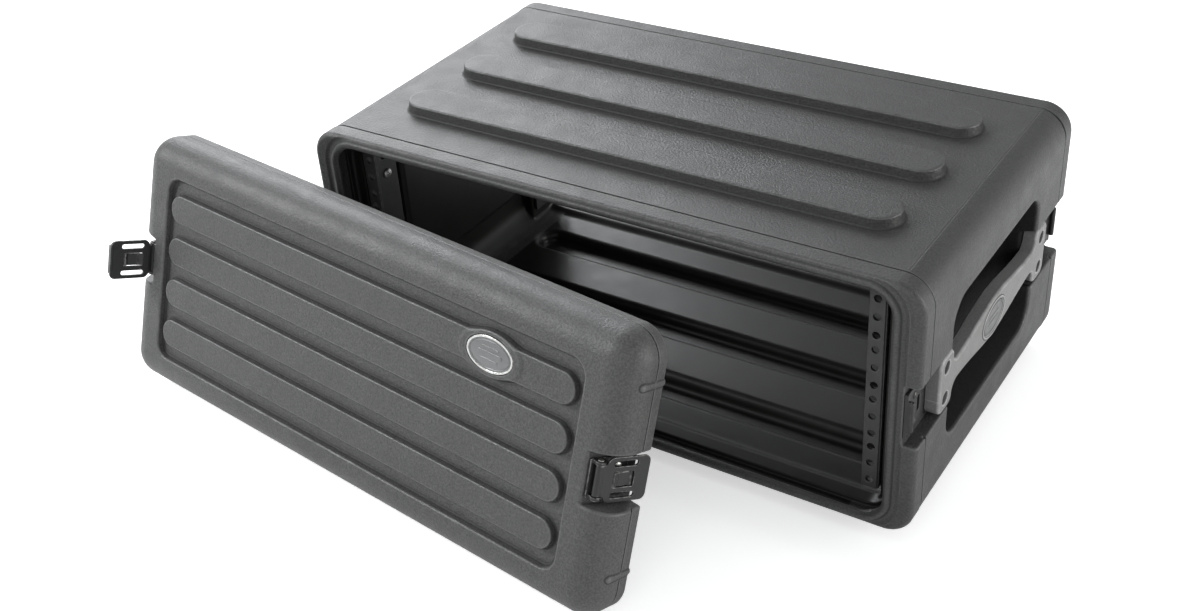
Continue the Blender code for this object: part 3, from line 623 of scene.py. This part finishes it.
def f_rivet(r0, h0, shank, ln):
    def f(x, y, z):
        r = np.hypot(x, y)
        rr = (r0 * r0 + h0 * h0) / (2 * h0)
        head = np.maximum(np.hypot(r, z - (h0 - rr)) - rr, -z)
        head = rint(head, r - r0 + 0.05, 0.2)
        dim = np.hypot(r, z - h0 - 0.5) - 0.9
        head = rsub(head, dim, 0.15)
        sh = np.maximum(r - shank, np.maximum(-z - ln, z - 0.5))
        return np.minimum(head, sh)
    return f


PH = skin(f_phillips, axis((-4.7, 4.7, 0.2)), axis((-4.7, 4.7, 0.2)), axis((-14.1, -0.6, 1.2), (-0.6, 2.9, 0.2)))
SK = skin(f_socket, axis((-4.9, 4.9, 0.24)), axis((-4.9, 4.9, 0.24)), axis((-22.1, -0.6, 1.8), (-0.6, 4.0, 0.22)))
RV = skin(f_rivet(3.2, 1.3, 1.6, 6.8), axis((-3.5, 3.5, 0.2)), axis((-3.5, 3.5, 0.2)), axis((-7.2, -0.4, 1.0), (-0.4, 1.7, 0.16)))
RV2 = skin(f_rivet(3.0, 1.0, 1.5, 5.2), axis((-3.3, 3.3, 0.2)), axis((-3.3, 3.3, 0.2)), axis((-5.6, -0.4, 1.0), (-0.4, 1.4, 0.16)))


def fastener(name, src, p, d, mat, spin=0.0, body="root", lidm=None):
    v, q, n, c = src
    m = frame_at(p, d) @ Matrix.Rotation(spin, 4, "Z")
    v2, n2 = apply(m, v, n)
    if lidm is not None:
        v2, n2 = apply(lidm, v2, n2)
    return piece(name + "_v", mesh(name, v2, q, n2, c), body, mat, [name])


i = 0
for rear in (False, True):
    for s, side in ((-1, "left"), (1, "right")):
        for lz, lvl in ((-57.0, "lower"), (57.0, "upper")):
            i += 1
            fastener("rail_screw_%s_%s_%s" % ("rear" if rear else "front", side, lvl), PH,
                     (s * 237.25, 268.0 if rear else 44.0, RAIL_Z + lz), (-s, 0, 0), ZINC, spin=0.5 + 0.83 * i)
        for lz, lvl in ((110.0, "lower"), (134.0, "upper")):
            fastener("keeper_rivet_%s_%s_%s" % ("rear" if rear else "front", side, lvl), RV,
                     (s * 266.4, 298.0 if rear else 14.0, lz), (s, 0, 0), BOLT)


# =====================================================================================
# Side handles
# =====================================================================================
HANDLE_Z, HANDLE_Y = 122.5, 155.0


def f_handle(x, y, z):
    """Right handle: bar with waisted grip and bolted pads."""
    a, b = np.abs(y - HANDLE_Y), np.abs(z - HANDLE_Z)
    t = np.clip((86.0 - a) / 86.0, 0, 1)
    half = 9.6 + 8.4 * (t * t * (3 - 2 * t)) ** 1.15
    slope = np.clip((86.0 - a) / 14.0, 0, 1)
    grip = np.maximum((b - half) * 0.985, a - 100.0)
    pad = rbox2(a - 101.8, b, 12.7, 25.0, 7.0)
    plan = runi(grip, pad, 9.0)
    x0, x1 = 263.8, 275.4
    bar = rint(plan, x - x1, 2.3)
    bar = rint(bar, x0 - x, 0.8)
    # soft hollow along the back of the grip, and the inlay seat
    back = rint(rbox2(a, b, 78.0, half - 4.0, 4.0), x - 266.5, 2.0)
    bar = rsub(bar, back, 1.0)
    for hy in (-102.5, 102.5):
        for hz in (-14.0, 14.0):
            r = np.hypot(y - HANDLE_Y - hy, z - HANDLE_Z - hz)
            bar = rsub(bar, np.maximum(r - 5.5, 267.6 - x), 0.7)
            bar = np.maximum(bar, -(r - 2.8))
    seatd = np.maximum(ell2(y - 150.0, z - 122.0, 21.4, 12.9), 274.2 - x)
    ring = np.hypot(ell2(y - 150.0, z - 122.0, 23.2, 14.6), x - 275.4) - 0.75
    bar = runi(bar, ring, 0.5)
    bar = rsub(bar, seatd, 0.25)
    return bar


def f_oval(x, y, z):
    """Oval inlay of the handle, blank with a fine raised border and two plain bars."""
    e = ell2(y - 150.0, z - 122.0, 20.9, 12.4)
    body = rint(np.maximum(e, 274.45 - x), x - 275.35, 0.35)
    lip = rint(np.maximum(np.abs(e + 1.5) - 0.6, 274.6 - x), x - 275.75, 0.25)
    bars = rint(np.minimum(rbox2(y - 150.0, z - 124.4, 10.5, 1.3, 1.2), rbox2(y - 150.0, z - 119.6, 10.5, 1.3, 1.2)), x - 275.7, 0.25)
    bars = np.maximum(bars, 274.8 - x)
    return runi(runi(body, lip, 0.15), bars, 0.15)


def handles():
    ys = axis((39.5, 70.0, 0.6), (70.0, 124.0, 1.2), (124.0, 176.0, 0.5), (176.0, 240.0, 1.2), (240.0, 270.5, 0.6))
    zs = axis((96.5, 101.0, 0.5), (101.0, 144.0, 0.6), (144.0, 148.5, 0.5))
    xs = axis((262.8, 267.0, 0.6), (267.0, 272.0, 0.7), (272.0, 277.2, 0.36))
    v, q, n, c = skin(f_handle, xs, ys, zs)
    bv, bq, bn, bc = skin(f_oval, axis((274.0, 276.1, 0.17)), axis((128.5, 171.5, 0.33)), axis((109.0, 135.0, 0.33)))
    for s, side in ((1, "right"), (-1, "left")):
        w = mirror_x(v, q, n) if s < 0 else (v, q, n)
        piece("handle_%s_v" % side, mesh("handle_" + side, w[0], w[1], w[2], c), "root", GRIP, ["handle_" + side])
        w = mirror_x(bv, bq, bn) if s < 0 else (bv, bq, bn)
        piece("handle_badge_%s_v" % side, mesh("handle_badge_" + side, w[0], w[1], w[2], bc), "root", DARKPLATE,
              ["handle_badge_" + side])
        k = 0
        for y in (52.5, 257.5):
            for z in (HANDLE_Z - 14, HANDLE_Z + 14):
                k += 1
                fastener("handle_bolt_%s_%d" % (side, k), SK, (s * 267.7, y, z), (s, 0, 0), BOLT, spin=0.4 * k + 0.2)


handles()


# =====================================================================================
# Keepers
# =====================================================================================
def f_keeper(x, y, z):
    az = np.abs(z - 122.5)
    plate = rint(np.maximum(np.abs(x - 265.05) - 1.2, np.maximum(2.0 - y, y - 27.0)), az - 19.4, 0.6)
    plate = rint(plate, y - 27.0, 0.9)
    front = rint(np.maximum(np.abs(y - 1.6) - 1.15, np.maximum(264.0 - x, x - 268.8)), az - 19.4, 0.6)
    roll = rint(np.hypot(x - 268.6, y - 2.6) - 2.0, az - 13.2, 0.7)
    k = runi(plate, front, 1.2)
    k = rsub(k, rint(np.maximum(266.6 - x, y - 5.0), 14.0 - az, 0.4), 0.3)
    k = runi(k, roll, 0.6)
    slot = rint(rbox2(y - 21.5, z - 122.5, 2.2, 7.0, 2.0), 260.0 - x, 0.1)
    return rsub(k, slot, 0.4)


KV = skin(f_keeper, axis((263.0, 271.4, 0.3)), axis((-0.2, 5.6, 0.3), (5.6, 18, 1.2), (18, 28.0, 0.4)), axis((102.2, 110.5, 0.4), (110.5, 134.5, 0.7), (134.5, 142.8, 0.4)))
for rear in (False, True):
    for s, side in ((-1, "left"), (1, "right")):
        v, q, n, c = KV
        w = (v, q, n)
        if s < 0:
            w = mirror_x(*w)
        if rear:
            w = mirror_y(*w)
        nm = "keeper_%s_%s" % ("rear" if rear else "front", side)
        piece(nm + "_v", mesh(nm, w[0], w[1], w[2], c), "root", KEEP, [nm])


# =====================================================================================
# Lid, in its own frame: x across, y = 0 at the rear rim plane, face at y = -40, z up from its lower edge
# =====================================================================================
LIDM = (Matrix.Translation(Vector((-152.5, -128.5, 0.0)) * MM) @ Matrix.Rotation(math.radians(-7.6), 4, "Z")
        @ Matrix.Rotation(math.radians(-19.6), 4, "X"))
CA, SA = math.cos(math.radians(21.0)), math.sin(math.radians(21.0))
LZ = 111.5
BX, BZ = 149.5, 56.7


def seat_un(ax, y):
    return (ax - 257.5) * SA + (y + 19.5) * CA, (ax - 257.5) * CA - (y + 19.5) * SA


def f_lid(x, y, z):
    ax, zc, n = np.abs(x), z - LZ, -y
    side = rbox2(ax, zc, 275.5, 111.5, 24.0)
    out = rint(side, n - 40.0, 24.0)
    out = rint(out, -n, 1.6)
    step = np.maximum(np.abs(n - 10.6) - 0.55, -side - 1.2)
    out = rsub(out, step, 0.4)
    # recessed panel and ribs
    pan = rbox2(ax, zc, 236.6, 82.4, 14.0) + (40.0 - n) * 0.22
    out = rsub(out, rint(pan, 34.0 - n, 1.6), 1.7)
    zk = 37.8 * (np.clip(np.round(zc / 37.8 - 0.5), -2, 1) + 0.5)
    st = np.hypot(np.maximum(ax - 218.0, 0), zc - zk) - 13.0
    rib = rint(st + (n - 34.0) * 0.16, n - 39.8, 1.1)
    rib = np.maximum(rib, 30.0 - n)
    boss = rint(ell2(x - BX, zc - BZ, 31.5, 18.2) + (n - 34.0) * 0.20, n - 39.9, 1.2)
    boss = np.maximum(boss, 30.0 - n)
    out = runi(out, runi(rib, boss, 3.0), 1.3)
    out = rsub(out, np.maximum(ell2(x - BX, zc - BZ, 23.4, 14.0), 38.9 - n), 0.35)
    # hollow back
    cav = rint(rbox2(ax, zc, 248.0, 99.6, 19.0) + n * 0.13, n - 28.4, 5.0)
    out = rsub(out, cav, 1.4)
    # latch seats
    u, m = seat_un(ax, y)
    w = np.abs(z - 112.0)
    seat = rint(w - 20.5 - np.maximum(m, 0) * 0.10, -m, 1.6)
    out = rsub(out, seat, 2.0)
    # cross ribs at the ends
    nub = np.hypot(np.hypot(ax - 273.3, np.maximum(np.abs(y + 12.0) - 10.5, 0)), np.abs(zc) - 74.0) - 3.25
    out = runi(out, nub, 0.6)
    # gasket groove
    ring = np.abs(rbox2(ax, zc, 259.0, 104.5, 23.0)) - 3.0
    out = rsub(out, np.maximum(ring, n - 2.6), 0.4)
    return out


def lid_mesh():
    xs = axis((-278.5, -246, 0.75), (-246, -240, 1.3), (-240, -212, 0.9), (-212, 114, 7.0), (114, 185, 0.9), (185, 212, 5.0),
              (212, 240, 0.9), (240, 246, 1.3), (246, 278.5, 0.75))
    ys = axis((-41.2, -32, 0.55), (-32, -12.5, 0.9), (-12.5, -8.5, 0.35), (-8.5, -3.5, 0.9), (-3.5, 1.2, 0.4))
    zr, last = [(-1.5, 16, 0.8)], 16
    edges = [22, 32.5] + [LZ + 37.8 * k + s * 13 for k in (-1.5, -0.5, 0.5, 1.5) for s in (-1, 1)] + [91.5, 132.5, 190.5, 201]
    edges = sorted(edges)
    for e in edges:
        a, b = max(last, e - 4.2), e + 4.2
        if a > last:
            zr.append((last, a, 1.6))
        zr.append((a, b, 0.62))
        last = b
    zr.append((last, 224.5, 0.8))
    zs = axis(*zr)
    v, q, n, c = skin(f_lid, xs, ys, zs)
    # mask of the lid's hollow back, where shade is painted into the colour
    inside_shade = np.clip(0.5 - rbox2(v[:, 0], v[:, 2] - LZ, 250, 101.5, 19) * 0.5, 0, 1) * (n[:, 1] > -0.2) * np.clip((-v[:, 1] - 0.5) / 3, 0, 1)
    inside_shade = inside_shade * (v[:, 1] > -30.5)
    v2, n2 = apply(LIDM, v, n)
    return mesh("lid_shell_v", v2, q, n2, c, {"inside": inside_shade * 0.75})


piece("lid_shell_v", lid_mesh(), "lid", LID, ["lid_shell"])


def f_gasket(x, y, z):
    ax, zc, n = np.abs(x), z - LZ, -y
    e = rbox2(ax, zc, 259.0, 104.5, 23.0)
    base = rint(np.abs(e) - 2.6, n - 2.4, 0.4)
    base = np.maximum(base, 0.8 - n)
    lip = np.hypot(e, n - 1.2) - 1.55
    return runi(base, lip, 0.4)


def gasket():
    xs = axis((-263, -236, 0.8), (-236, 236, 12.0), (236, 263, 0.8))
    zs = axis((LZ - 108.4, LZ - 80, 0.7), (LZ - 80, LZ + 80, 8.0), (LZ + 80, LZ + 108.4, 0.7))
    v, q, n, c = skin(f_gasket, xs, axis((-2.9, 0.9, 0.3)), zs)
    v2, n2 = apply(LIDM, v, n)
    piece("lid_gasket_v", mesh("lid_gasket", v2, q, n2, c), "lid", RUBBER, ["lid_gasket"])


gasket()


def lid_badge():
    def rim(x, y, z):
        e = ell2(x - BX, z - LZ - BZ, 22.9, 13.5)
        n = -y
        r = rint(np.abs(e + 0.9) - 0.9, n - 40.5, 0.45)
        return np.maximum(r, 39.0 - n)

    def face(x, y, z):
        e = ell2(x - BX, z - LZ - BZ, 22.9, 13.5)
        n = -y
        dome = 40.05 + 0.25 * np.clip(-e / 13.0, 0, 1)
        p = np.maximum(np.maximum(e + 1.7, n - dome), 39.1 - n)
        p = rsub(p, np.hypot(e + 3.3, n - dome) - 0.35, 0.1)
        bars = rbox2(x - BX, z - LZ - BZ, 12.0, 1.7, 1.5)
        bars = np.minimum(bars, rbox2(x - BX, z - LZ - BZ - 4.6, 8.4, 0.8, 0.7))
        bars = np.minimum(bars, rbox2(x - BX, z - LZ - BZ + 4.6, 8.4, 0.8, 0.7))
        bars = np.maximum(rint(bars, n - dome - 0.35, 0.2), 39.5 - n)
        return runi(p, bars, 0.12)

    xs, zs = axis((BX - 24, BX + 24, 0.3)), axis((LZ + BZ - 14.5, LZ + BZ + 14.5, 0.3))
    for nm, f, mat, rep in (("lid_badge_rim_v", rim, RIMM, []), ("lid_badge_v", face, PLATE, ["lid_badge"])):
        v, q, n, c = skin(f, xs, axis((-41.2, -38.7, 0.13)), zs)
        v2, n2 = apply(LIDM, v, n)
        piece(nm, mesh(nm, v2, q, n2, c), "lid", mat, rep)


lid_badge()


# =====================================================================================
# Latches, in the seat frame (u along the seat to the rear, n away from it, w up)
# =====================================================================================
PU, PN, TU, TN = -13.0, 5.6, 13.0, 5.4


def seat_matrix(s):
    """Seat frame to world for the latch on side s."""
    m = Matrix(((s * SA, s * CA, 0, s * 257.5 * MM), (CA, -SA, 0, -19.5 * MM), (0, 0, 1, 112.0 * MM), (0, 0, 0, 1)))
    return LIDM @ m


def f_base(u, n, w):
    aw = np.abs(w)
    plate = rint(rint(np.maximum(rbox2(u + 3.5, w, 15.5, 15.5, 2.0), GAPN - n), n - 2.1, 0.5), GAPN - n, 0.3)
    ears = rint(np.maximum(rint(np.hypot(u - PU, np.maximum(n - PN, 0)) - 4.0, 1.0 - n, 0.1), n - PN - 3.8), np.abs(aw - 13.55) - 1.25, 0.4)
    ears = np.maximum(ears, 0.8 - n)
    b = runi(plate, ears, 0.8)
    b = rsub(b, np.hypot(u - PU, n - PN) - 1.6, 0.15)
    bead = rbox2(u - 3.0, w, 7.0, 3.0, 2.5)
    b = runi(b, rint(np.maximum(bead, 1.0 - n), n - 2.9, 0.5), 0.6)
    return b


GAPN = 0.3


def f_arm(u, n, w):
    """Arm: barrel on the pin, stamped plate with two long slots and a window, turned-down lip."""
    aw = np.abs(w)
    barrel = rint(np.hypot(u - PU, n - PN) - 2.95, aw - 11.9, 0.5)
    out2 = rbox2(u - 9.6, w, 17.4, 17.5, 5.0)
    neck = rbox2(u + 8.0, w, 6.0, 11.9, 1.0)
    plan = runi(out2, neck, 3.0)
    plate = rint(plan, np.abs(n - 7.0) - 0.95, 0.5)
    lipc = seg2(u, n, 25.6, 6.6, 25.7, 2.2, 0.95)
    lip = rint(lipc, aw - 13.0, 0.5)
    arm = runi(runi(barrel, plate, 1.0), lip, 0.9)
    slot = np.minimum(rbox2(u - 7.0, w - 12.2, 10.0, 2.1, 2.05), rbox2(u - 7.0, w + 12.2, 10.0, 2.1, 2.05))
    arm = rsub(arm, slot, 0.35)
    arm = rsub(arm, np.maximum(rbox2(u - 6.6, w, 8.4, 6.0, 1.2), 3.0 - n), 0.35)
    earsec = np.maximum(rint(np.hypot(u - TU, np.minimum(n - TN, 0)) - 2.3, n - 7.5, 0.1), np.abs(aw - 7.4) - 0.85)
    arm = runi(arm, earsec, 0.4)
    arm = rsub(arm, np.maximum(np.hypot(u - TU, n - TN) - 1.05, aw - 10.0), 0.1)
    arm = np.maximum(arm, -(np.hypot(u - PU, n - PN) - 1.62))
    return arm


def f_trigger(u, n, w):
    aw = np.abs(w)
    hub = np.hypot(u - TU, n - TN) - 1.8
    leaf = seg2(u, n, TU, TN + 0.4, 2.0, 6.6, 0.8)
    tail = seg2(u, n, 2.0, 6.6, -1.2, 7.9, 0.75)
    t = rint(runi(runi(hub, leaf, 0.8), tail, 0.8), aw - 5.5, 0.5)
    grooves = np.hypot(np.minimum(np.minimum(np.abs(u - 2.2), np.abs(u - 4.6)), np.abs(u - 7.0)), n - 7.6) - 0.35
    t = rsub(t, np.maximum(grooves, aw - 4.5), 0.1)
    return np.maximum(t, -(np.hypot(u - TU, n - TN) - 1.08))


def f_pin(r, half, head):
    def f(u, n, w):
        q = np.hypot(u, n)
        p = rint(q - r, np.abs(w) - half, 0.25)
        if head:
            hd = rint(q - head, np.abs(np.abs(w) - half + 0.5) - 0.45, 0.3)
            p = np.minimum(p, hd)
        return p
    return f


BASE = skin(f_base, axis((-20, 13, 0.3)), axis((-0.2, 10.4, 0.3)), axis((-16.3, 16.3, 0.32)))
ARM = skin(f_arm, axis((-17, 28.2, 0.3)), axis((0.6, 9.4, 0.26)), axis((-18.3, 18.3, 0.32)))
TRIG = skin(f_trigger, axis((-3, 16, 0.25)), axis((2.8, 9.6, 0.22)), axis((-6.2, 6.2, 0.3)))
PIN1 = skin(f_pin(1.3, 15.9, 2.15), axis((-2.6, 2.6, 0.2)), axis((-2.6, 2.6, 0.2)), axis((-16.5, -14.4, 0.2), (-14.4, 14.4, 2.0), (14.4, 16.5, 0.2)))
PIN2 = skin(f_pin(0.82, 8.2, 0), axis((-1.2, 1.2, 0.15)), axis((-1.2, 1.2, 0.15)), axis((-8.6, -7.4, 0.2), (-7.4, 7.4, 2.0), (7.4, 8.6, 0.2)))


def turned(u0, n0, ang):
    """Rotation by ang about the w axis through (u0, n0), in the seat frame."""
    t = Matrix.Translation(Vector((u0, n0, 0)) * MM)
    return t @ Matrix.Rotation(ang, 4, "Z") @ t.inverted()


def put(name, src, m, body, mat, rep):
    v, q, n, c = src
    a = np.array(m)[:3, :3]
    v2, n2 = apply(m, v, n)
    if np.linalg.det(a) < 0:
        q = q[:, ::-1]
    piece(name, mesh(name, v2, q, n2, c), body, mat, rep)


for s, side, opened in ((1, "right", 0.0), (-1, "left", 145.0)):
    S = seat_matrix(s)
    # opening lifts the free end off the seat: in the seat frame that is always the same turn
    A = S @ turned(PU, PN, math.radians(opened))
    put("latch_base_%s_v" % side, BASE, S, "lid", LATCH, ["latch_base_" + side])
    put("latch_arm_pin_%s_v" % side, PIN1, S @ Matrix.Translation(Vector((PU, PN, 0)) * MM), "lid", ZINC, ["latch_arm_pin_" + side])
    put("latch_arm_%s_v" % side, ARM, A, "latch_arm_" + side, LATCH, ["latch_arm_" + side])
    put("latch_trigger_pin_%s_v" % side, PIN2, A @ Matrix.Translation(Vector((TU, TN, 0)) * MM), "latch_arm_" + side, ZINC,
        ["latch_trigger_pin_" + side])
    put("latch_trigger_%s_v" % side, TRIG, A, "latch_trigger_" + side, LATCH, ["latch_trigger_" + side])
    for k, w in enumerate((-8.0, 8.0)):
        v, q, n, c = RV2
        m = S @ Matrix.Translation(Vector((4.0, 2.15, w)) * MM) @ Matrix.Rotation(-math.pi / 2, 4, "X")
        put("latch_rivet_%s_%d_v" % (side, k + 1), (v, q, n, c), m, "lid", ZINC, ["latch_rivet_%s_%d" % (side, k + 1)])


# =====================================================================================
# Studio
# =====================================================================================
def studio():
    k = Nodes("studio_floor_m")
    g = k.noise(3.0, 3.0, 0.5)
    k.set(Base_Color=k.mix(g, (0.90, 0.90, 0.90, 1), (0.94, 0.94, 0.94, 1)), Roughness=0.7, Specular_IOR_Level=0.2,
          Emission_Color=(1.0, 1.0, 1.0, 1.0), Emission_Strength=k.remap(k.n("ShaderNodeLightPath").outputs["Is Camera Ray"], 0, 1, 0.06, 0.50))
    bm = bmesh.new()
    prof = [(-9.0, 0.0), (5.0, 0.0)] + [(5.0 + 3.0 * math.sin(math.radians(a)), 3.0 - 3.0 * math.cos(math.radians(a))) for a in range(10, 91, 10)] + [(8.0, 9.0)]
    rows = [[bm.verts.new((x, y, z - 0.0004)) for y, z in prof] for x in (-12.0, 12.0)]
    for a, b, c, d in zip(rows[0][:-1], rows[0][1:], rows[1][1:], rows[1][:-1]):
        bm.faces.new((a, d, c, b))
    me = bpy.data.meshes.new("studio_floor")
    bm.to_mesh(me)
    bm.free()
    me.shade_smooth()
    me.materials.append(k.m)
    ob = bpy.data.objects.new("studio_floor", me)
    bpy.context.scene.collection.objects.link(ob)

    w = bpy.data.worlds.new("studio")
    bpy.context.scene.world = w
    w.use_nodes = True
    bg = w.node_tree.nodes["Background"]
    bg.inputs["Color"].default_value = (0.96, 0.98, 1.0, 1)
    bg.inputs["Strength"].default_value = 0.50
    bpy.context.scene.view_settings.view_transform = "Standard"

    def area(name, loc, target, size, power, col=(1, 1, 1)):
        L = bpy.data.lights.new(name, "AREA")
        L.shape = "RECTANGLE"
        L.size, L.size_y = size
        L.energy = power
        L.color = col
        o = bpy.data.objects.new(name, L)
        bpy.context.scene.collection.objects.link(o)
        o.location = loc
        o.rotation_mode = "QUATERNION"
        o.rotation_quaternion = (Vector(target) - Vector(loc)).to_track_quat("-Z", "Y")
        return o

    area("key_back_left", (-1.9, 1.4, 1.35), (-0.15, -0.05, 0.15), (1.7, 1.2), 47, (0.96, 0.98, 1.0))
    area("key_left", (-2.1, -1.25, 1.75), (-0.1, -0.15, 0.12), (0.7, 0.7), 60, (0.98, 0.99, 1.0))
    area("fill_front", (0.9, -2.6, 1.6), (0, -0.1, 0.12), (2.2, 1.4), 13, (1.0, 1.0, 0.99))
    area("side_right", (2.4, 0.5, 0.7), (0.2, 0.0, 0.12), (1.6, 1.2), 34, (1.0, 0.995, 0.975))

    cam = bpy.data.cameras.new("camera")
    co = bpy.data.objects.new("camera", cam)
    bpy.context.scene.collection.objects.link(co)
    az, el, roll = math.radians(34.708), math.radians(33.585), math.radians(-3.454)
    fwd = Vector((-math.sin(az) * math.cos(el), math.cos(az) * math.cos(el), -math.sin(el)))
    r0 = fwd.cross(Vector((0, 0, 1))).normalized()
    u0 = r0.cross(fwd)
    sr = math.sin(roll) / u0.z
    right = (r0 * math.sqrt(max(0.0, 1 - sr * sr)) + u0 * sr).normalized()
    up = right.cross(fwd)
    m = Matrix((right, up, -fwd)).transposed().to_4x4()
    m.translation = Vector((0.5706, -0.8123 + ORIGIN_Y * MM, 0.7964))
    co.matrix_world = m
    cam.lens = 45.13
    cam.sensor_width = 36.0
    cam.sensor_fit = "HORIZONTAL"
    cam.clip_start, cam.clip_end = 0.01, 60
    bpy.context.scene.camera = co


studio()
